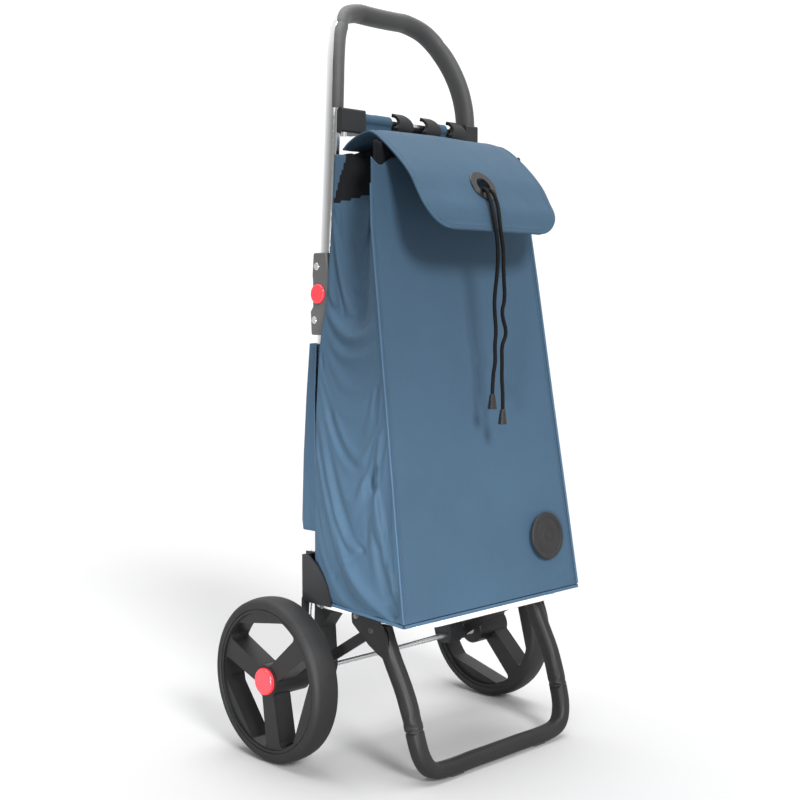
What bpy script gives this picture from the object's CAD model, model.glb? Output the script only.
import math

import bmesh
import bpy
import numpy as np
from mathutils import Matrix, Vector, noise


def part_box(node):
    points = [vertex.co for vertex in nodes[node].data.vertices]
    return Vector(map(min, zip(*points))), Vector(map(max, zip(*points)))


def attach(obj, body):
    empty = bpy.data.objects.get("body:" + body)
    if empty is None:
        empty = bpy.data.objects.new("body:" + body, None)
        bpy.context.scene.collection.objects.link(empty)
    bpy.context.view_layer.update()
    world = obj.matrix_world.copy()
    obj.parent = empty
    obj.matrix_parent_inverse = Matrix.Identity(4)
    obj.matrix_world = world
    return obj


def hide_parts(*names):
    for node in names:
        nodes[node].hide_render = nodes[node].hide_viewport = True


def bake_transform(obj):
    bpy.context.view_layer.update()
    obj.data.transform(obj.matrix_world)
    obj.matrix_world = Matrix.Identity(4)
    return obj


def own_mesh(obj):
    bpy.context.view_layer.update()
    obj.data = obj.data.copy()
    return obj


# Looks of the folding shopping trolley. Metres, in the CAD frame: -Y to the front, +Z up.

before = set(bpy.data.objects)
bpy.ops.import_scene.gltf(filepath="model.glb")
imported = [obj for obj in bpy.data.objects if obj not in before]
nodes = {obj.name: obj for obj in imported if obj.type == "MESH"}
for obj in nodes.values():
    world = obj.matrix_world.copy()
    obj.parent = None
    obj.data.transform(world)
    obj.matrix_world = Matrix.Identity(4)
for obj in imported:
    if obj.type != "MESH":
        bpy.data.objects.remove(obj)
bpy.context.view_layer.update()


def middle(node):
    """The middle of a CAD node's box."""
    low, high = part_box(node)
    return (low + high) / 2


AXLE_Y = middle("axle").y


def at(x, back, up):
    """A point given in millimetres: X, back from the axle, up from the floor."""
    return Vector((x / 1000, AXLE_Y + back / 1000, up / 1000))


# ---------------------------------------------------------------- materials


def add(tree, kind, inputs=None, **settings):
    """A shader node with its settings, its input values and the outputs linked into it."""
    made = tree.nodes.new(kind)
    for name, value in settings.items():
        setattr(made, name, value)
    for name, value in (inputs or {}).items():
        if isinstance(value, bpy.types.NodeSocket):
            tree.links.new(value, made.inputs[name])
        else:
            made.inputs[name].default_value = value
    return made


def shade(colour, factor):
    """A colour made lighter or darker, with its alpha."""
    return (*[min(1.0, c * factor) for c in colour], 1.0)


def new_shader(name, metal=0.0, **sockets):
    """A new material, and its Principled shader with plain socket values set."""
    material = bpy.data.materials.new(name)
    material.use_nodes = True
    shader = material.node_tree.nodes["Principled BSDF"]
    shader.inputs["Metallic"].default_value = metal
    for socket, value in sockets.items():
        shader.inputs[socket.replace("_", " ")].default_value = value
    return material, material.node_tree, shader


def spread_colour(tree, shader, factor, colour, spread):
    """The shader's colour runs from darker to lighter with a factor."""
    ramp = add(tree, "ShaderNodeValToRGB", {"Fac": factor})
    ramp.color_ramp.elements[0].position = 0.3
    ramp.color_ramp.elements[1].position = 0.7
    ramp.color_ramp.elements[0].color = shade(colour, 1 - spread)
    ramp.color_ramp.elements[1].color = shade(colour, 1 + spread)
    tree.links.new(ramp.outputs["Color"], shader.inputs["Base Color"])


def spread_rough(tree, shader, factor, rough, spread):
    """The shader's roughness runs round its middle value with a factor."""
    span = add(
        tree,
        "ShaderNodeMapRange",
        {
            "Value": factor,
            "From Min": 0.25,
            "From Max": 0.75,
            "To Min": rough - spread,
            "To Max": rough + spread,
        },
    )
    tree.links.new(span.outputs["Result"], shader.inputs["Roughness"])


def hard(
    name,
    colour,
    rough,
    metal=0.0,
    grain=1400.0,
    bump=0.15,
    spread=0.08,
    stretch=(1, 1, 1),
    marks=0.06,
    **sockets,
):
    """A hard moulded or metal surface: fine grain in its relief, broad marks in colour and roughness."""
    material, tree, shader = new_shader(name, metal, **sockets)
    place = add(tree, "ShaderNodeTexCoord")
    stretched = add(tree, "ShaderNodeMapping", {"Vector": place.outputs["Object"], "Scale": stretch})
    vector = stretched.outputs["Vector"]
    fine = add(tree, "ShaderNodeTexNoise", {"Vector": vector, "Scale": grain, "Detail": 2.0})
    broad = add(
        tree, "ShaderNodeTexNoise", {"Vector": vector, "Scale": 22.0, "Detail": 5.0, "Roughness": 0.6}
    )
    spread_colour(tree, shader, broad.outputs["Fac"], colour, spread)
    mixed = add(tree, "ShaderNodeMath", {0: fine.outputs["Fac"], 1: broad.outputs["Fac"]}, operation="ADD")
    half = add(tree, "ShaderNodeMath", {0: mixed.outputs[0], 1: 0.5}, operation="MULTIPLY")
    spread_rough(tree, shader, half.outputs[0], rough, marks)
    relief = add(
        tree, "ShaderNodeBump", {"Height": fine.outputs["Fac"], "Strength": bump, "Distance": 0.0002}
    )
    tree.links.new(relief.outputs["Normal"], shader.inputs["Normal"])
    return material


def woven(name, colour, rough, thread=0.0009, bump=0.35, spread=0.1, crease=0.25, **sockets):
    """Plain-woven cloth: crossing threads, uneven yarn and soft crumples."""
    material, tree, shader = new_shader(name, **sockets)
    place = add(tree, "ShaderNodeTexCoord")
    across = add(tree, "ShaderNodeUVMap", uv_map="cloth")
    turns = math.pi / 10 / thread
    heights = []
    for direction in ("X", "Y"):
        wave = add(
            tree,
            "ShaderNodeTexWave",
            {
                "Vector": across.outputs["UV"],
                "Scale": turns,
                "Distortion": 0.6,
                "Detail": 1.0,
                "Detail Scale": 0.4,
            },
            bands_direction=direction,
        )
        heights.append(wave.outputs["Fac"])
    weave = add(tree, "ShaderNodeMath", {0: heights[0], 1: heights[1]}, operation="MULTIPLY")
    yarn = add(tree, "ShaderNodeMapping", {"Vector": across.outputs["UV"], "Scale": (900, 40, 1)})
    slub = add(tree, "ShaderNodeTexNoise", {"Vector": yarn.outputs["Vector"], "Scale": 1.0, "Detail": 2.0})
    broad = add(
        tree,
        "ShaderNodeTexNoise",
        {"Vector": place.outputs["Object"], "Scale": 9.0, "Detail": 6.0, "Roughness": 0.62},
    )
    tone = add(tree, "ShaderNodeMath", {0: slub.outputs["Fac"], 1: broad.outputs["Fac"]}, operation="ADD")
    tone = add(tree, "ShaderNodeMath", {0: tone.outputs[0], 1: 0.5}, operation="MULTIPLY")
    spread_colour(tree, shader, tone.outputs[0], colour, spread)
    spread_rough(tree, shader, tone.outputs[0], rough, 0.06)
    crumple = add(
        tree, "ShaderNodeTexNoise", {"Vector": place.outputs["Object"], "Scale": 42.0, "Detail": 3.0}
    )
    soft = add(
        tree, "ShaderNodeBump", {"Height": crumple.outputs["Fac"], "Strength": crease, "Distance": 0.002}
    )
    relief = add(
        tree,
        "ShaderNodeBump",
        {"Height": weave.outputs[0], "Normal": soft.outputs["Normal"], "Strength": bump, "Distance": 0.0003},
    )
    tree.links.new(relief.outputs["Normal"], shader.inputs["Normal"])
    return material


def ribbed(name, colour, rough, pitch, bump, direction="Z", **sockets):
    """A surface with fine regular ribs, such as braided cord or a grip."""
    material, tree, shader = new_shader(name, **sockets)
    place = add(tree, "ShaderNodeTexCoord")
    vector = place.outputs["Object"]
    turns = math.pi / 10 / pitch
    wave = add(
        tree,
        "ShaderNodeTexWave",
        {"Vector": vector, "Scale": turns, "Distortion": 1.5, "Detail": 1.0, "Detail Scale": 1.0},
        bands_direction=direction,
    )
    grain = add(tree, "ShaderNodeTexNoise", {"Vector": vector, "Scale": 900.0, "Detail": 3.0})
    height = add(tree, "ShaderNodeMath", {0: wave.outputs["Fac"], 1: grain.outputs["Fac"]}, operation="ADD")
    broad = add(tree, "ShaderNodeTexNoise", {"Vector": vector, "Scale": 30.0, "Detail": 4.0})
    spread_colour(tree, shader, broad.outputs["Fac"], colour, 0.15)
    spread_rough(tree, shader, grain.outputs["Fac"], rough, 0.08)
    relief = add(tree, "ShaderNodeBump", {"Height": height.outputs[0], "Strength": bump, "Distance": 0.0005})
    tree.links.new(relief.outputs["Normal"], shader.inputs["Normal"])
    return material


BLACK = (0.015, 0.0155, 0.0165)
CLOTH = (0.036, 0.07, 0.11)
THREAD = (0.034, 0.07, 0.115)
polished = hard("polished_aluminium", (0.93, 0.935, 0.94), 0.14, 1.0, 500.0, 0.06, 0.03, (40, 40, 1), 0.05)
steel = hard("bright_steel", (0.72, 0.73, 0.74), 0.28, 1.0, 700.0, 0.1, 0.06)
rivet_steel = hard("rivet_steel", (0.85, 0.85, 0.86), 0.22, 1.0, 900.0, 0.08, 0.05)
black_steel = hard("black_steel", (0.012, 0.012, 0.013), 0.42, 0.0, 900.0, 0.15, 0.08, Specular_IOR_Level=0.3)
white_steel = hard("white_coated_steel", (0.78, 0.79, 0.8), 0.28, 0.0, 900.0, 0.1, 0.04, Coat_Weight=0.4)
spring_steel = hard("spring_steel", (0.5, 0.5, 0.52), 0.35, 1.0, 900.0, 0.1, 0.06)
moulded = hard("moulded_black", BLACK, 0.45, 0.0, 1500.0, 0.3, 0.14, Specular_IOR_Level=0.3)
moulded_grey = hard(
    "moulded_grey", (0.085, 0.084, 0.086), 0.45, 0.0, 1500.0, 0.3, 0.12, Specular_IOR_Level=0.4
)
moulded_wheel = hard(
    "moulded_wheel", (0.009, 0.009, 0.0095), 0.42, 0.0, 1500.0, 0.3, 0.14, Specular_IOR_Level=0.3
)
moulded_foot = hard(
    "moulded_foot", (0.013, 0.0128, 0.0128), 0.48, 0.0, 1200.0, 0.4, 0.14, Specular_IOR_Level=0.25
)
tyre_foam = hard("tyre_foam", (0.013, 0.013, 0.0135), 0.6, 0.0, 1100.0, 0.6, 0.2, Specular_IOR_Level=0.25)
grip_foam = hard("grip_foam", (0.034, 0.0344, 0.0355), 0.6, 0.0, 1300.0, 0.8, 0.12, Sheen_Weight=0.1)
red = hard("red_plastic", (0.72, 0.035, 0.05), 0.3, 0.0, 1000.0, 0.08, 0.06, Coat_Weight=0.3)
bush_plastic = hard("pale_plastic", (0.6, 0.6, 0.57), 0.4, 0.0, 1000.0, 0.2, 0.08)
gloss_black = hard("gloss_black", (0.012, 0.012, 0.013), 0.25, 0.0, 900.0, 0.1, 0.1)
badge_black = hard(
    "badge_black", (0.016, 0.0155, 0.016), 0.5, 0.0, 1500.0, 0.4, 0.12, Specular_IOR_Level=0.25
)
bag_cloth = woven("bag_cloth", CLOTH, 0.6, Sheen_Weight=0.03, Sheen_Roughness=0.4, Specular_IOR_Level=0.12)
flap_cloth = woven(
    "flap_cloth", (0.035, 0.07, 0.109), 0.6, Sheen_Weight=0.03, Sheen_Roughness=0.4, Specular_IOR_Level=0.12
)
lining = woven("dark_lining", (0.006, 0.0065, 0.008), 0.7, 0.0007, 0.3, 0.15, 0.5, Specular_IOR_Level=0.1)
binding = woven("cloth_binding", (0.045, 0.09, 0.145), 0.6, 0.0012, 0.5, 0.1, 0.1, Specular_IOR_Level=0.12)
stitch_thread = ribbed("stitch_thread", THREAD, 0.6, 0.0008, 0.5)
braid = ribbed("black_braid", (0.004, 0.004, 0.0045), 0.75, 0.0022, 1.0, "DIAGONAL", Specular_IOR_Level=0.15)

NODE_FINISH = (
    ("lower_tube", polished, "tube_metal"),
    ("handle_tube", polished, "handle_metal"),
    ("axle_carrier", moulded, "carrier_plastic"),
    ("corner_guard", moulded, "guard_plastic"),
    ("hinge_link", moulded_grey, "link_plastic"),
    ("crossbar", moulded, "bracket_plastic"),
    ("bag_hooks", moulded, "hook_plastic"),
    ("foot", moulded_foot, "foot_plastic"),
    ("foot_pads", grip_foam, "grip_foam"),
    ("wheel_left", moulded_wheel, "wheel_plastic"),
    ("wheel_right", moulded_wheel, "wheel_plastic"),
    ("wheel_bush", bush_plastic, "bush_plastic"),
    ("axle_spacers", bush_plastic, "bush_plastic"),
    ("tyre", tyre_foam, "tyre_foam"),
    ("handle_grip", grip_foam, "grip_foam"),
    ("hub_button", red, "red_plastic"),
    ("release_button", red, "red_plastic"),
    ("hub_spring", spring_steel, "spring_steel"),
    ("release_spring", spring_steel, "spring_steel"),
    ("platform_tube", white_steel, "white_steel"),
    ("platform_wires", white_steel, "white_steel"),
    ("cross_strip", steel, "steel"),
    ("strut_left", black_steel, "black_steel"),
    ("strut_right", black_steel, "black_steel"),
    ("strut_rivets", rivet_steel, "rivet_steel"),
    ("frame_rivets", rivet_steel, "rivet_steel"),
    ("platform_rivets", rivet_steel, "rivet_steel"),
    ("leg_rivets", rivet_steel, "rivet_steel"),
    ("hinge_pins", rivet_steel, "steel"),
    ("bracket_screws", steel, "steel"),
    ("hanging_rod", steel, "steel"),
    ("eyelet", gloss_black, "eyelet_plastic"),
    ("cord_end", gloss_black, "cord_end_plastic"),
    ("bag_shell", bag_cloth, "bag_cloth"),
    ("rear_pocket", bag_cloth, "pocket_cloth"),
    ("rod_sleeve", bag_cloth, "sleeve_cloth"),
    ("flap", flap_cloth, "flap_cloth"),
    ("drawstring_collar", lining, "collar_cloth"),
    ("base_board", moulded, "board_plastic"),
    ("badge", badge_black, "badge_plastic"),
    ("cord_left", braid, "cord_textile"),
    ("cord_right", braid, "cord_textile"),
    ("axle", steel, "steel"),
)
for name, piece in nodes.items():
    matches = [row for row in NODE_FINISH if name == row[0] or name.startswith(row[0] + "_")]
    best = max(matches, key=lambda row: len(row[0]))
    piece.data.materials.clear()
    piece.data.materials.append(best[1])

# ---------------------------------------------------------------- mesh helpers


def surface(name, points, spacing, materials, closed=False, picks=None):
    """A mesh from rows of points, with a UV map in metres and smooth faces. picks gives a face's material."""
    rows, columns = points.shape[:2]
    mesh = bpy.data.meshes.new(name)
    wrap = columns if closed else columns - 1
    faces = []
    for r in range(rows - 1):
        for c in range(wrap):
            d = (c + 1) % columns
            faces.append((r * columns + c, r * columns + d, (r + 1) * columns + d, (r + 1) * columns + c))
    mesh.from_pydata(points.reshape(-1, 3).tolist(), [], faces)
    uv = mesh.uv_layers.new(name="cloth")
    across, along = spacing
    values = []
    for r in range(rows - 1):
        for c in range(wrap):
            left, right = across[r][c], across[r][c + 1]
            for u, v in ((left, along[r]), (right, along[r]), (right, along[r + 1]), (left, along[r + 1])):
                values.extend((u, v))
    uv.data.foreach_set("uv", values)
    for material in materials:
        mesh.materials.append(material)
    mesh.polygons.foreach_set("use_smooth", [True] * len(faces))
    if picks is not None:
        mesh.polygons.foreach_set("material_index", picks)
    obj = bpy.data.objects.new(name, mesh)
    bpy.context.scene.collection.objects.link(obj)
    return obj


def spacing_of(points, closed=False):
    """Distances along each row and up the first column, for a UV map in metres."""
    rows = points if not closed else np.concatenate([points, points[:, :1]], axis=1)
    step = np.linalg.norm(np.diff(rows, axis=1), axis=2)
    across = np.concatenate([np.zeros((len(points), 1)), np.cumsum(step, axis=1)], axis=1)
    rise = np.linalg.norm(np.diff(points[:, 0], axis=0), axis=1)
    along = np.concatenate([[0.0], np.cumsum(rise)])
    return across, along


def cloth_surface(name, points, materials, closed=False, picks=None):
    """A surface whose UV map is measured from its own points."""
    return surface(name, points, spacing_of(points, closed), materials, closed, picks)


def settled(obj):
    """The object with its modifiers worked into its mesh."""
    bpy.context.view_layer.update()
    result = obj.evaluated_get(bpy.context.evaluated_depsgraph_get())
    obj.data = bpy.data.meshes.new_from_object(result)
    obj.modifiers.clear()
    return obj


def thicken(obj, thickness, offset=-1.0, bevel=0.0):
    """Give a sheet its thickness, inwards by default."""
    solid = obj.modifiers.new("thickness", "SOLIDIFY")
    solid.thickness = thickness
    solid.offset = offset
    solid.use_even_offset = False
    if bevel:
        edge = obj.modifiers.new("edge", "BEVEL")
        edge.width = bevel
        edge.segments = 2
    return settled(obj)


def join(target, *others):
    """Make several mesh objects one, keeping their materials."""
    with bpy.context.temp_override(
        active_object=target, object=target, selected_editable_objects=[target, *others]
    ):
        bpy.ops.object.join()
    return target


def ripple(x, y, z, scale, seed):
    """Smooth noise from -1 to 1 at a point, the same on every run."""
    return noise.noise(Vector((x * scale + seed * 7.3, y * scale + seed * 3.1, z * scale - seed * 5.7)))


def strip(name, line, outward, width, thick, material, rounding=3):
    """A flat band that stands out from a line: its section is a thin slab with a rounded free edge."""
    line = [Vector(p) for p in line]
    count = len(line)
    rows = []
    for i, point in enumerate(line):
        run = (line[min(i + 1, count - 1)] - line[max(i - 1, 0)]).normalized()
        out = outward[i].normalized()
        side = run.cross(out).normalized() * thick / 2
        section = [point - side, point + out * (width - thick / 2) - side]
        for k in range(1, rounding + 1):
            turn = math.pi * k / (rounding + 1)
            section.append(
                point + out * (width - thick / 2 + math.sin(turn) * thick / 2) - side * math.cos(turn)
            )
        section += [point + out * (width - thick / 2) + side, point + side]
        rows.append([tuple(p) for p in section])
    return cloth_surface(name, np.array(rows), [material])


def stitches(name, line, normals, length, gap, size, material):
    """A row of short raised threads along a line."""
    line = [Vector(p) for p in line]
    cumulative = [0.0]
    for a, b in zip(line, line[1:]):
        cumulative.append(cumulative[-1] + (b - a).length)
    cumulative = np.array(cumulative)
    flat = np.array([tuple(p) for p in line])
    tops = np.array([tuple(n) for n in normals])
    mesh = bmesh.new()

    def spot(distance, table):
        return Vector([float(np.interp(distance, cumulative, table[:, k])) for k in range(3)])

    start = gap
    while start + length < cumulative[-1]:
        a, b = spot(start, flat), spot(start + length, flat)
        up = spot(start + length / 2, tops).normalized()
        run = (b - a).normalized()
        side = run.cross(up).normalized() * size / 2
        centre = (a + b) / 2 + up * size * 0.35
        low = [mesh.verts.new(p) for p in (a - side, a + side, b + side, b - side)]
        high = [
            mesh.verts.new(centre + run * r * length * 0.28 + side * s * 0.8)
            for r, s in ((-1, -1), (-1, 1), (1, 1), (1, -1))
        ]
        mesh.faces.new(high)
        for k in range(4):
            mesh.faces.new((low[k], low[(k + 1) % 4], high[(k + 1) % 4], high[k]))
        start += length + gap
    made = bpy.data.meshes.new(name)
    mesh.to_mesh(made)
    mesh.free()
    made.materials.append(material)
    made.polygons.foreach_set("use_smooth", [True] * len(made.polygons))
    made.uv_layers.new(name="cloth")
    obj = bpy.data.objects.new(name, made)
    bpy.context.scene.collection.objects.link(obj)
    return obj


def smooth_line(points, count):
    """Evenly spaced points on a smooth curve through the given ones."""
    points = [np.array(p, float) for p in points]
    fine = []
    for i in range(len(points) - 1):
        before, a, b = points[max(i - 1, 0)], points[i], points[i + 1]
        after = points[min(i + 2, len(points) - 1)]
        for t in np.linspace(0, 1, 24, endpoint=False):
            square = (2 * before - 5 * a + 4 * b - after) * t**2
            cube = (3 * a - before - 3 * b + after) * t**3
            fine.append(0.5 * (2 * a + (b - before) * t + square + cube))
    fine.append(points[-1])
    fine = np.array(fine)
    run = np.concatenate([[0.0], np.cumsum(np.linalg.norm(np.diff(fine, axis=0), axis=1))])
    even = np.linspace(0, run[-1], count)
    return np.stack([np.interp(even, run, fine[:, k]) for k in range(fine.shape[1])], axis=1), run[-1]


# ---------------------------------------------------------------- the bag

FRONT_STEPS, SIDE_STEPS, BACK_STEPS, RISE_STEPS = 80, 72, 36, 180
BAG_LOW, BAG_HIGH = 209.0, 806.0
BAG_THICK = 0.0013
# height, front half-width, front, depth of the side's fold, rear half-width, rear (mm, back from the axle)
BAG = np.array(
    (
        (209.0, 174.0, -203.0, 1.0, 151.5, -6.5),
        (270.0, 172.0, -193.5, -4.0, 153.0, -10.0),
        (340.0, 169.5, -183.0, -9.0, 156.0, -14.0),
        (470.0, 164.5, -163.0, -9.0, 159.5, -21.5),
        (545.0, 162.0, -151.5, -4.0, 158.0, -25.8),
        (575.0, 161.0, -147.0, 8.0, 154.5, -27.3),
        (605.0, 160.0, -142.5, 27.0, 148.5, -29.2),
        (650.0, 158.5, -135.5, 40.0, 146.5, -31.5),
        (710.0, 156.0, -126.0, 42.0, 143.5, -35.0),
        (738.0, 154.3, -123.5, 36.0, 143.0, -36.5),
        (754.0, 152.7, -121.2, 58.0, 142.7, -38.0),
        (806.0, 150.0, -118.0, 66.0, 142.0, -40.5),
    )
)
# creases of the side panels: how far in they go, their half-width, and their line as (back, up)
SIDE_CREASES = (
    (9.0, 8.0, ((-50, 463), (-66, 436), (-87, 413), (-112, 399), (-131, 391), (-139, 380))),
    (
        12.0,
        6.5,
        (
            (-139, 400),
            (-133, 375),
            (-131, 358),
            (-137, 330),
            (-147, 304),
            (-158, 268),
            (-170, 235),
            (-181, 219),
        ),
    ),
    (4.5, 5.0, ((-139, 500), (-139, 480), (-141, 465))),
    (4.0, 3.5, ((-28, 415), (-45, 372), (-62, 330), (-77, 312), (-100, 309), (-121, 296))),
    (3.6, 3.5, ((-121, 296), (-104, 284), (-80, 268), (-54, 249))),
    (3.5, 7.0, ((-24, 548), (-30, 530))),
    (-3.0, 9.0, ((-24, 622), (-70, 634), (-120, 654))),
    (3.5, 10.0, ((-24, 606), (-70, 617), (-118, 637))),
    (-3.5, 8.0, ((-36, 733), (-75, 738), (-115, 749))),
    (2.0, 8.0, ((-46, 300), (-70, 262), (-92, 222))),
    (1.6, 9.0, ((-70, 560), (-92, 520), (-96, 470))),
    (1.8, 8.0, ((-20, 330), (-32, 285), (-36, 235))),
    (-6.0, 7.0, ((-151, 440), (-143, 372), (-150, 330), (-160, 290), (-172, 250))),
)


def from_line(back, up, line):
    """Distance of a point of the side view from a line of points."""
    nearest = 1e9
    for (a, b), (c, d) in zip(line, line[1:]):
        run = (c - a) ** 2 + (d - b) ** 2
        share = min(max(((back - a) * (c - a) + (up - b) * (d - b)) / run, 0.0), 1.0)
        nearest = min(nearest, math.hypot(back - a - share * (c - a), up - b - share * (d - b)))
    return nearest


def side_relief(back, up, seed):
    """How far a side panel stands out at a point: its creases and some small unevenness."""
    relief = 0.0
    for depth, width, line in SIDE_CREASES:
        relief -= depth * math.exp(-((from_line(back, up, line) / width) ** 2))
    broad = 2.2 * ripple(back / 1000, up / 1000, 0.2, 17, seed)
    narrow = 0.7 * ripple(back / 1000, up / 1000, 0.7, 46, seed)
    return relief + (broad + narrow)


def front_relief(x, up):
    """How far the front panel stands out at a point: long shallow upright folds, deeper near the bottom."""
    low = math.exp(-(((up - 260) / 130) ** 2))
    broad = 1.5 * ripple(x / 1000, up / 4000, 0.1, 19, 11)
    narrow = 0.8 * ripple(x / 1000 + up / 5000, up / 5000, 0.5, 42, 12)
    return (0.6 + 0.9 * low) * (broad + narrow) + 0.5 * ripple(x / 1000, up / 1000, 0.3, 34, 13)


def bag_row(up):
    """The closed outline of the bag at a height, counter-clockwise from its left front corner."""
    front_half, front, fold, rear_half, rear = (np.interp(up, BAG[:, 0], BAG[:, k]) for k in range(1, 6))
    across = np.linspace(-1, 1, FRONT_STEPS, endpoint=False)
    body = math.sin(math.pi * min(max((up - BAG_LOW) / (BAG_HIGH - BAG_LOW), 0), 1)) ** 0.7
    row = []
    for a in across:
        held = 1 - abs(a) ** 6
        row.append(
            (
                front_half * a,
                front - 4.5 * body * (1 - a * a) - held * body * front_relief(front_half * a, up),
                up,
            )
        )
    # the sides fold inwards along a line a little in front of their middle, sharply only near the top
    mid = 0.45
    soft = 0.16 + 0.5 * max(0.0, min(1.0, (660 - up) / 90))
    sides = {}
    for sign in (1, -1):
        points = []
        for s in np.linspace(0, 1, SIDE_STEPS, endpoint=False):
            reach = (mid - s) / mid if s < mid else (s - mid) / (1 - mid)
            crease = (math.hypot(1, soft) - math.hypot(reach, soft)) / (math.hypot(1, soft) - soft)
            back = front + (rear - front) * s
            held = min(1.0, s / 0.04, (1 - s) / 0.05) * min(1.0, (up - BAG_LOW) / 8)
            out = front_half + (rear_half - front_half) * s - fold * crease
            out += held * side_relief(back, up, 21 + sign)
            points.append((sign * out, back, up))
        sides[sign] = points
    row += sides[1]
    for a in np.linspace(1, -1, BACK_STEPS, endpoint=False):
        row.append((rear_half * a, rear + 0.8 * (1 - a * a) * ripple(a, up / 1000, 0.4, 7, 31), up))
    row += [(-rear_half, rear, up), *reversed(sides[-1][1:])]
    return row


def rim_sag(x, back):
    """How far the bag's rim hangs below its highest level: it dips beside the front corners."""
    forward = min(max((-45 - back) / 60, 0.0), 1.0)
    return forward * (6 + 13 * math.exp(-(((abs(x) - 133) / 15) ** 2)))


heights = np.linspace(BAG_LOW, BAG_HIGH, RISE_STEPS)
bag_points = []
for up in heights:
    hang = max(0.0, (up - 720) / 86) ** 1.5
    bag_points.append([tuple(at(x, back, z - hang * rim_sag(x, back))) for x, back, z in bag_row(up)])
bag_points = np.array(bag_points)
columns = bag_points.shape[1]
CORNERS = (0, FRONT_STEPS, FRONT_STEPS + SIDE_STEPS, FRONT_STEPS + SIDE_STEPS + BACK_STEPS)
# the collar's black cloth shows in the deep fold at the top of each side
picks = []
for up in heights[:-1]:
    for c in range(columns):
        share = -1.0
        if CORNERS[1] < c < CORNERS[2]:
            share = (c - CORNERS[1]) / SIDE_STEPS
        elif c > CORNERS[3]:
            share = (columns - c) / SIDE_STEPS
        left_edge = np.interp(up, (739, 806), (1.0, 0.9))
        picks.append(1 if 0.03 < share < left_edge and up > min(760, 776.5 - 37.5 * share) else 0)
bag = cloth_surface("bag_cloth_body", bag_points, [bag_cloth, lining], closed=True, picks=picks)


SETTLING_FRAMES = 28
SIDE_SLACK = 0.006
FRONT_SHARE_OF_SLACK = 0.15


def hang_cloth(obj, rows, columns):
    """Let the bag's panels sag between their sewn edges: the sides are cut with more slack than the front."""
    pins = obj.vertex_groups.new(name="sewn")
    slack = obj.vertex_groups.new(name="slack")
    for r in range(rows):
        for c in range(columns):
            i = r * columns + c
            if r in (0, rows - 1) or c in CORNERS:
                pins.add([i], 1.0, "REPLACE")
            side = CORNERS[1] < c < CORNERS[2] or c > CORNERS[3]
            slack.add([i], 1.0 if side else FRONT_SHARE_OF_SLACK, "REPLACE")
    cloth = obj.modifiers.new("cloth", "CLOTH")
    settings = cloth.settings
    settings.quality = 6
    settings.mass = 0.35
    settings.tension_stiffness = settings.compression_stiffness = 70
    settings.shear_stiffness = 18
    settings.bending_stiffness = 6
    settings.air_damping = 4
    settings.vertex_group_mass = "sewn"
    settings.vertex_group_shrink = "slack"
    settings.shrink_min = 0.0
    settings.shrink_max = -SIDE_SLACK
    cloth.collision_settings.use_collision = False
    scene = bpy.context.scene
    for step in range(1, SETTLING_FRAMES + 1):
        scene.frame_set(step)
    settled(obj)
    scene.frame_set(1)


hang_cloth(bag, RISE_STEPS, columns)

rest = np.array([tuple(v.co) for v in bag.data.vertices]).reshape(RISE_STEPS, columns, 3)
thicken(bag, BAG_THICK)

seam_pieces = []
for column, sign in ((0, -1), (CORNERS[1], 1)):
    line = [Vector(p) for p in rest[1:-12, column]]
    outward = [Vector((sign, -0.55, 0))] * len(line)
    line = [p - o.normalized() * 0.0012 for p, o in zip(line, outward)]
    seam_pieces.append(strip("front_seam", line, outward, 0.0034, 0.0022, binding))
    mid_line = [p + Vector((-sign * 0.0045, -0.0008, 0)) for p in line]
    seam_pieces.append(
        stitches(
            "front_seam_stitches",
            mid_line,
            [Vector((0, -1, 0))] * len(line),
            0.0032,
            0.0012,
            0.0008,
            stitch_thread,
        )
    )
for low, high, out in (
    (0, CORNERS[1], Vector((0, -0.35, -1))),
    (CORNERS[1], CORNERS[2], Vector((0.3, 0, -1))),
    (CORNERS[3], columns, Vector((-0.3, 0, -1))),
):
    line = [Vector(rest[0, c % columns]) for c in range(low, high + 1)]
    line = [p + Vector((0, 0, 0.0012)) for p in line]
    seam_pieces.append(strip("bottom_seam", line, [out] * len(line), 0.0040, 0.0022, binding))

# the floor of the bag
floor_rows = [rest[0] + (rest[0].mean(axis=0) - rest[0]) * share for share in (0.0, 0.25, 0.55, 0.85, 0.995)]
floor_points = np.array(floor_rows)
floor_points[:, :, 2] += 0.0009
bag_floor = cloth_surface("bag_floor", floor_points, [lining], closed=True)
thicken(bag_floor, 0.0012, 1.0)
bag = join(bag, *seam_pieces, bag_floor)

# gathered black collar inside the mouth, its top edge rolled outwards
collar_rows = []
mouth = rest[-1]
centre = mouth.mean(axis=0)
inward = (centre - mouth) * np.array((1, 1, 0))
inward /= np.linalg.norm(inward, axis=1)[:, None]
run = np.concatenate([[0.0], np.cumsum(np.linalg.norm(np.diff(mouth, axis=0), axis=1))])
COLLAR = (
    (-48.0, 4.0),
    (-34.0, 4.0),
    (-20.0, 4.5),
    (-8.0, 5.0),
    (2.0, 5.0),
    (8.0, 4.0),
    (11.0, 6.0),
    (11.5, 9.0),
    (9.0, 12.0),
    (2.0, 12.5),
    (-12.0, 13.0),
    (-28.0, 14.0),
)
for rise, depth in COLLAR:
    gather_depth = 0.0016 if rise > -15 else 0.0008
    gathers = np.sin(run / 0.011 * 2 * math.pi + 2.2 * np.sin(run / 0.05)) * gather_depth
    level = mouth + inward * (depth / 1000 + gathers)[:, None]
    behind = np.clip((mouth[:, 1] - AXLE_Y + 0.075) / 0.03, 0, 1)
    level[:, 2] = BAG_HIGH / 1000 + rise / 1000 + 0.0012 * np.sin(run / 0.017 * 2 * math.pi) - 0.011 * behind
    collar_rows.append(level)
collar = cloth_surface("gathered_collar", np.array(collar_rows), [lining], closed=True)
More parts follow.
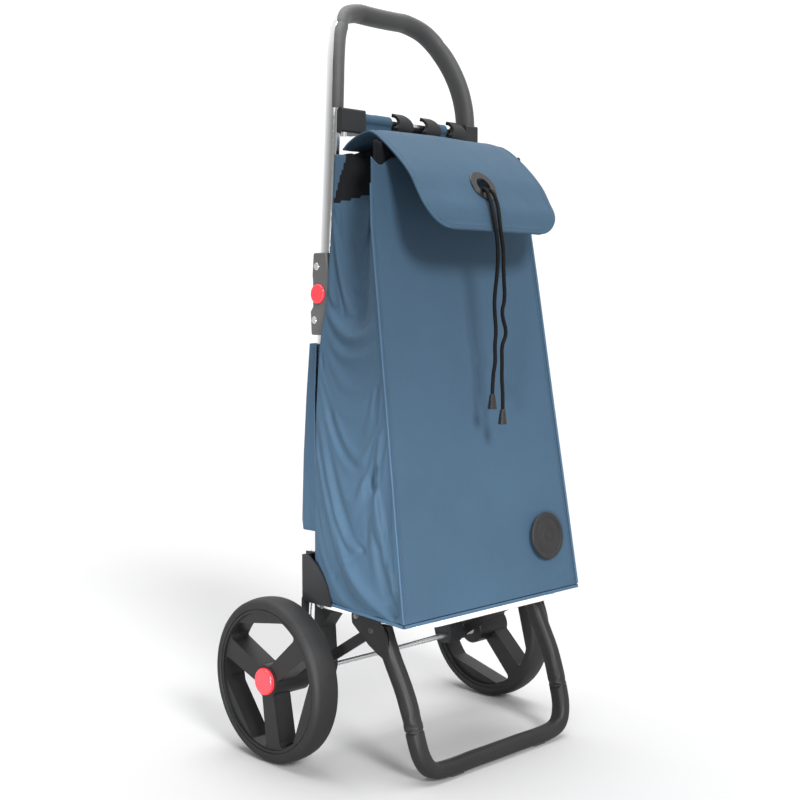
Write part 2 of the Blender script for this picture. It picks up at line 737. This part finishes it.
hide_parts("drawstring_collar")
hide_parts("bag_shell", "base_board")

# ---------------------------------------------------------------- badge: a plain disc with a generic ring

badge_low, badge_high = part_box("badge")
badge_centre = (badge_low + badge_high) / 2
badge_face = Vector((0, -501.2, 77.0)).normalized()
badge_side = Vector((1, 0, 0))
badge_up = badge_face.cross(badge_side)
if badge_up.z < 0:
    badge_up.negate()
# radius and height of the turned outline, in millimetres from the badge's back
BADGE = (
    (0, 2.6),
    (6, 2.6),
    (7, 2.1),
    (9, 2.1),
    (10, 2.6),
    (23, 2.6),
    (24, 2.0),
    (26.5, 2.0),
    (27.5, 3.0),
    (31.5, 3.0),
    (32.7, 2.4),
    (33, 1.0),
    (33, 0.0),
)
badge_rows = []
for radius, height in BADGE:
    ring = []
    for k in range(72):
        turn = 2 * math.pi * k / 72
        flat = badge_side * math.cos(turn) + badge_up * math.sin(turn)
        ring.append(
            tuple(badge_centre + flat * max(radius, 0.05) / 1000 + badge_face * (height - 1.5) / 1000)
        )
    badge_rows.append(ring)
badge = cloth_surface("badge_disc", np.array(badge_rows), [badge_black], closed=True)
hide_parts("badge")

# ---------------------------------------------------------------- rear pocket

# height, front edge of the sides, back edge of the sides, back of the panel
POCKET = np.array(
    (
        (300.0, -3.0, 26.0, 40.0),
        (312.0, -3.0, 26.5, 44.0),
        (400.0, 3.5, 24.5, 39.0),
        (484.0, 5.0, 19.0, 31.0),
        (556.0, 0.6, 11.5, 22.5),
    )
)
POCKET_HALF = 140.6


def pocket_row(up):
    """The pocket's outside from its left front edge round the back to its right front edge."""
    near, side, far = (np.interp(up, POCKET[:, 0], POCKET[:, k]) for k in (1, 2, 3))
    corners = (
        (-POCKET_HALF, near),
        (-POCKET_HALF - 0.6, (near + side) / 2),
        (-POCKET_HALF, side),
        (-124.6, far),
        (-90, far + 1),
    )
    corners += ((0, far + 2.0), *[(-x, y) for x, y in reversed(corners)])
    line, _ = smooth_line(corners, 150)
    return [
        tuple(at(x, y + (0.9 * ripple(x / 1000, 0, up / 1000, 14, 4) if abs(x) < 120 else 0), up))
        for x, y in line
    ]


def tube_back(up):
    """Where a frame tube's back face stands at a height."""
    return 25.5 - 0.0615 * (up - 270)


pocket_heights = np.linspace(300, 556, 64)
pocket_rows = [pocket_row(up) for up in pocket_heights]
pocket = thicken(cloth_surface("rear_pocket_cloth", np.array(pocket_rows), [bag_cloth]), 0.0014)
wall_rows = [
    [tuple(at(x, tube_back(up) + 1.8, up)) for x in np.linspace(-139, 139, 60)] for up in pocket_heights
]
pocket_wall = thicken(cloth_surface("pocket_wall", np.array(wall_rows), [bag_cloth]), 0.0014)
base_rows = []
for share in np.linspace(0, 1, 6):
    edge = np.array([tuple(at(x, tube_back(300) + 1.8, 300.8)) for x in np.linspace(-138, 138, 60)])
    outer = smooth_line(pocket_rows[0][22:-22], 60)[0]
    outer[:, 2] = 0.3008
    base_rows.append(edge + (outer - edge) * share)
pocket_base = thicken(cloth_surface("pocket_base", np.array(base_rows), [bag_cloth]), 0.0012)
hem_line = [Vector(p) for p in pocket_rows[-6]]
hem_normals = [
    Vector((0, 1, 0)) if abs(p.x) < 0.13 else Vector((math.copysign(1, p.x), 0, 0)) for p in hem_line
]
pocket_hem = stitches(
    "pocket_hem",
    [p + n * 0.0002 for p, n in zip(hem_line, hem_normals)],
    hem_normals,
    0.0032,
    0.0012,
    0.0008,
    stitch_thread,
)
edge_bands = []
for column in (0, -1):
    line = [Vector(row[column]) for row in pocket_rows]
    edge_bands.append(strip("pocket_edge", line, [Vector((0, -1, 0))] * len(line), 0.0016, 0.0022, binding))
tabs = []
for x in (-70, 70):
    tab_points = np.array(
        [
            [tuple(at(x + dx, -25 + 37 * s, 542.5 - 6 * math.sin(math.pi * s))) for dx in (-9, 0, 9)]
            for s in np.linspace(0, 1, 12)
        ]
    )
    tabs.append(thicken(cloth_surface("pocket_tab", tab_points, [binding]), 0.0016, 0.0))
pocket = join(pocket, pocket_wall, pocket_base, pocket_hem, *edge_bands, *tabs)
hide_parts("rear_pocket")

# ---------------------------------------------------------------- sleeve of cloth round the hanging rod

rod = middle("hanging_rod")
rod_back = (rod.y - AXLE_Y) * 1000
rod_up = rod.z * 1000
sleeves = []
for x_in, x_out in ((-88.0, -37.0), (54.0, 72.0)):
    rows = []
    for x in np.linspace(x_in, x_out, 40 if x_out < 0 else 14):
        row = []
        for turn in np.linspace(-115, 225, 40):
            radius = 8.0 + 0.45 * ripple(x / 1000, math.sin(math.radians(turn)) * 0.01, 0, 60, 3)
            row.append(
                tuple(
                    at(
                        x,
                        rod_back + radius * math.cos(math.radians(turn)),
                        rod_up + radius * math.sin(math.radians(turn)),
                    )
                )
            )
        for drop in np.linspace(0.12, 1, 14):
            y = rod_back - 5.6 + (-39.2 - rod_back + 5.6) * drop
            row.append(
                tuple(
                    at(
                        x,
                        y + 0.5 * ripple(x / 1000, 0, drop * 0.05, 40, 8),
                        rod_up - 6 + (805 - rod_up + 6) * drop,
                    )
                )
            )
        rows.append(row)
    sleeves.append(cloth_surface("rod_sleeve_cloth", np.array(rows), [bag_cloth]))
sleeve = join(*sleeves)
thicken(sleeve, 0.0012, 0.0)
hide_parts("rod_sleeve")

# ---------------------------------------------------------------- flap

FLAP_LINE = (
    (-43.0, 813.0),
    (-55.0, 823.5),
    (-76.0, 833.0),
    (-100.0, 834.5),
    (-134.0, 811.0),
    (-164.0, 781.5),
    (-183.0, 752.0),
    (-195.0, 731.0),
    (-203.0, 703.5),
)
FLAP_HALF, FLAP_CORNER = 130.0, 46.0
FLAP_ROWS, FLAP_COLUMNS = 92, 104
flap_curve, flap_length = smooth_line(FLAP_LINE, FLAP_ROWS)
flap_run = np.linspace(0, flap_length, FLAP_ROWS)
slopes = np.gradient(flap_curve, axis=0)
slopes /= np.linalg.norm(slopes, axis=1)[:, None]
outward = np.stack([slopes[:, 1], -slopes[:, 0]], axis=1)
outward *= np.sign(outward[:, 1:2] + 1e-9)


def flap_half(run):
    """Half-width of the flap at a distance from its hinge: the free corners are rounded."""
    past = np.clip(run - (flap_length - FLAP_CORNER), 0, FLAP_CORNER)
    return FLAP_HALF - FLAP_CORNER + math.sqrt(max(FLAP_CORNER**2 - past**2, 0))


def flap_points(lift):
    """The flap's surface, raised along its normal."""
    rows = []
    for i, run in enumerate(flap_run):
        half = flap_half(run)
        back, up = flap_curve[i]
        normal = outward[i]
        row = []
        for a in np.linspace(-1, 1, FLAP_COLUMNS):
            x = half * a
            edge = min(half - abs(x), flap_length - run) if run > 20 else half - abs(x)
            side_droop = 5.0 * max(0.0, abs(x) / FLAP_HALF - 0.72) ** 2 / 0.078
            droop = side_droop * math.sin(math.pi * min(run / flap_length, 1.0)) ** 0.5
            wave = 0.9 * ripple(x / 1000, run / 1000, 0.3, 16, 5)
            wave += 0.35 * ripple(x / 1000, run / 1000, 0.9, 48, 6)
            bow = 2.2 * math.exp(-(((x + 10) / 46) ** 2)) * math.exp(-(((run - 40) / 26) ** 2))
            hem = 0.7 / (1 + math.exp((edge - 8.5) / 0.5)) - 0.45 * math.exp(-(((edge - 8.8) / 0.9) ** 2))
            out = lift + wave + bow + hem
            row.append(tuple(at(x, back + normal[0] * out, up + normal[1] * out - droop)))
        rows.append(row)
    return np.array(rows)


flap = cloth_surface("flap_cloth_cover", flap_points(0.0), [flap_cloth])
eyelet_low, eyelet_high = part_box("eyelet")
eyelet_centre = (eyelet_low + eyelet_high) / 2
trimmed = bmesh.new()
trimmed.from_mesh(flap.data)
inside = [f for f in trimmed.faces if (f.calc_center_median() - eyelet_centre).length < 0.0165]
bmesh.ops.delete(trimmed, geom=inside, context="FACES")
trimmed.to_mesh(flap.data)
trimmed.free()
thicken(flap, 0.0021, 1.0)

hem_line, hem_normals = [], []
shape = flap_points(0.2)
# the stitch line runs 7 mm inside the outline: down the left, along the free edge, up the right
inner = FLAP_CORNER - 7.2
outline = [(-(FLAP_HALF - 7.2), run) for run in np.linspace(6, flap_length - FLAP_CORNER, 40)]
for turn in np.linspace(0, 90, 20)[1:]:
    outline.append(
        (
            -(FLAP_HALF - FLAP_CORNER) - inner * math.cos(math.radians(turn)),
            flap_length - FLAP_CORNER + inner * math.sin(math.radians(turn)),
        )
    )
outline += [
    (x, flap_length - 7.2) for x in np.linspace(-(FLAP_HALF - FLAP_CORNER), FLAP_HALF - FLAP_CORNER, 30)[1:]
]
outline += [(-x, run) for x, run in reversed(outline[: len(outline) - 29])]
for x, run in outline:
    row = run / flap_length * (FLAP_ROWS - 1)
    low_row = min(int(row), FLAP_ROWS - 2)
    share = row - low_row
    found = []
    for r in (low_row, low_row + 1):
        half = flap_half(flap_run[r])
        column = (min(max(x / half, -1), 1) + 1) / 2 * (FLAP_COLUMNS - 1)
        c = min(int(column), FLAP_COLUMNS - 2)
        found.append(shape[r][c] + (shape[r][c + 1] - shape[r][c]) * (column - c))
    hem_line.append(Vector(found[0] + (found[1] - found[0]) * share))
    normal = outward[low_row]
    hem_normals.append(Vector((0, normal[0], normal[1])))
flap_stitches = stitches("flap_stitches", hem_line, hem_normals, 0.0033, 0.0012, 0.001, stitch_thread)
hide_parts("flap")

# ---------------------------------------------------------------- drawcords

UPPER_CORDS = {
    "left": (
        (-5.0, -168.0, 757.0),
        (-5.5, -184.0, 764.0),
        (-8.0, -195.0, 745.0),
        (-10.5, -201.5, 729.0),
        (-12.0, -207.5, 711.0),
    ),
    "right": (
        (5.0, -168.0, 757.0),
        (5.2, -184.0, 764.0),
        (3.5, -198.0, 741.0),
        (-1.0, -205.0, 722.0),
        (-3.0, -209.0, 704.0),
    ),
}
LOWER_CORDS = {
    "left": (
        (-8.0, -209.0, 684.0),
        (-3.5, -204.0, 650.0),
        (-4.0, -201.5, 632.0),
        (-4.5, -200.0, 615.0),
        (-1.5, -198.0, 598.0),
        (3.0, -197.0, 572.0),
        (1.0, -196.0, 555.0),
        (3.0, -196.0, 534.0),
        (-1.0, -195.0, 515.0),
        (-1.5, -194.5, 490.7),
    ),
    "right": (
        (3.0, -209.0, 680.0),
        (3.2, -209.0, 648.0),
        (10.0, -206.0, 615.0),
        (4.5, -204.0, 598.0),
        (18.0, -203.0, 571.0),
        (8.0, -202.0, 555.0),
        (10.5, -201.0, 534.0),
        (11.0, -200.0, 512.0),
        (14.0, -199.5, 490.0),
        (14.5, -199.0, 470.0),
    ),
}
CORD_R = 0.0026


def nurbs(name, points, bevel=0.0):
    """A smooth round curve along hand-placed points."""
    data = bpy.data.curves.new(name, "CURVE")
    data.dimensions = "3D"
    spline = data.splines.new("NURBS")
    spline.points.add(len(points) - 1)
    for spot, point in zip(spline.points, points):
        spot.co = (*at(*point), 1.0)
    spline.order_u = 3
    spline.use_endpoint_u = True
    data.resolution_u = 10
    data.bevel_depth = bevel
    data.bevel_resolution = 4
    data.use_fill_caps = bevel > 0
    obj = bpy.data.objects.new(name, data)
    bpy.context.scene.collection.objects.link(obj)
    return obj


cords = {}
for side in ("left", "right"):
    route = (*UPPER_CORDS[side], *LOWER_CORDS[side])
    thin, thick = nurbs(f"cord_path_{side}", route), nurbs(f"cord_tube_{side}", route, CORD_R)
    bpy.context.view_layer.update()
    depsgraph = bpy.context.evaluated_depsgraph_get()
    centre_line = bpy.data.meshes.new_from_object(thin.evaluated_get(depsgraph))
    tube = bpy.data.meshes.new_from_object(thick.evaluated_get(depsgraph))
    for leftover in (thin, thick):
        bpy.data.objects.remove(leftover)
    tube.materials.clear()
    tube.materials.append(braid)
    tube.polygons.foreach_set("use_smooth", [True] * len(tube.polygons))
    cords[side] = bpy.data.objects.new(f"drawcord_{side}", tube)
    bpy.context.scene.collection.objects.link(cords[side])
    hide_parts(f"cord_{side}_upper", f"cord_{side}_lower")
    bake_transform(cords[side])

# ---------------------------------------------------------------- riding, flattening and slots

for piece, body, slot_name in (
    (bag, "root", "bag_cloth"),
    (collar, "root", "collar_cloth"),
    (badge, "root", "badge_plastic"),
    (pocket, "root", "pocket_cloth"),
    (sleeve, "root", "sleeve_cloth"),
    (flap, "flap", "flap_cloth"),
    (flap_stitches, "flap", "flap_cloth"),
):
    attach(piece, body)
for piece in (bag, collar, badge):
    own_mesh(piece)

# ---------------------------------------------------------------- floor, light and camera

floor_size = 14.0
bpy.ops.mesh.primitive_plane_add(size=floor_size, location=(0, 0, -0.0005))
floor = bpy.context.object
floor.name = "studio_floor"
floor_material, floor_tree, floor_shader = new_shader("studio_floor", Roughness=0.9)
floor_place = add(floor_tree, "ShaderNodeTexCoord")
floor_noise = add(
    floor_tree, "ShaderNodeTexNoise", {"Vector": floor_place.outputs["Object"], "Scale": 3.0, "Detail": 2.0}
)
spread_colour(floor_tree, floor_shader, floor_noise.outputs["Fac"], (0.4, 0.4, 0.403), 0.006)
floor.data.materials.append(floor_material)

# the studio is bright behind and above, and dark on the side towards -X
world = bpy.data.worlds.new("studio")
bpy.context.scene.world = world
world.use_nodes = True
sky = world.node_tree
background = sky.nodes["Background"]
looking = add(sky, "ShaderNodeTexCoord")
towards = add(
    sky,
    "ShaderNodeVectorMath",
    {0: looking.outputs["Generated"], 1: (0.76, 0.42, 0.5)},
    operation="DOT_PRODUCT",
)
level = add(sky, "ShaderNodeMath", {0: towards.outputs["Value"], 1: 0.52, 2: 0.64}, operation="MULTIPLY_ADD")
sky.links.new(level.outputs[0], background.inputs["Strength"])
background.inputs["Color"].default_value = (1, 1, 1, 1)
bpy.context.scene.view_settings.view_transform = "Standard"


def soft_sun(name, towards_light, strength, spread):
    """A broad distant lamp that lights from a direction."""
    data = bpy.data.lights.new(name, "SUN")
    data.energy = strength * math.pi
    data.angle = math.radians(spread)
    lamp = bpy.data.objects.new(name, data)
    bpy.context.scene.collection.objects.link(lamp)
    lamp.rotation_euler = Vector(towards_light).to_track_quat("Z", "Y").to_euler()


soft_sun("key", (-0.28, -0.8, 0.52), 1.15, 16)
soft_sun("side", (-0.85, -0.4, 0.35), 0.05, 30)
soft_sun("top", (0.1, 0.1, 1.0), 1.1, 50)

# a low lamp with a narrow beam lights the lower half of the left side
beam = bpy.data.lights.new("low_left", "AREA")
beam.shape = "DISK"
beam.size = 0.5
beam.spread = math.radians(24)
beam.energy = 1.7
low_left = bpy.data.objects.new("low_left", beam)
bpy.context.scene.collection.objects.link(low_left)
low_left.location = (-1.75, -0.9, 0.2)
low_left.rotation_euler = (Vector((-0.16, 0.0, 0.27)) - low_left.location).to_track_quat("-Z", "Y").to_euler()

YAW, PITCH = 0.7761, 0.0715
lens = bpy.data.cameras.new("camera")
camera = bpy.data.objects.new("camera", lens)
bpy.context.scene.collection.objects.link(camera)
camera.location = (-1.2823, AXLE_Y - 1.3249, 0.6048)
forward = Vector((math.sin(YAW) * math.cos(PITCH), math.cos(YAW) * math.cos(PITCH), -math.sin(PITCH)))
camera.rotation_euler = forward.to_track_quat("-Z", "Y").to_euler()
lens.sensor_width = 36.0
lens.lens = 58.04
bpy.context.scene.camera = camera
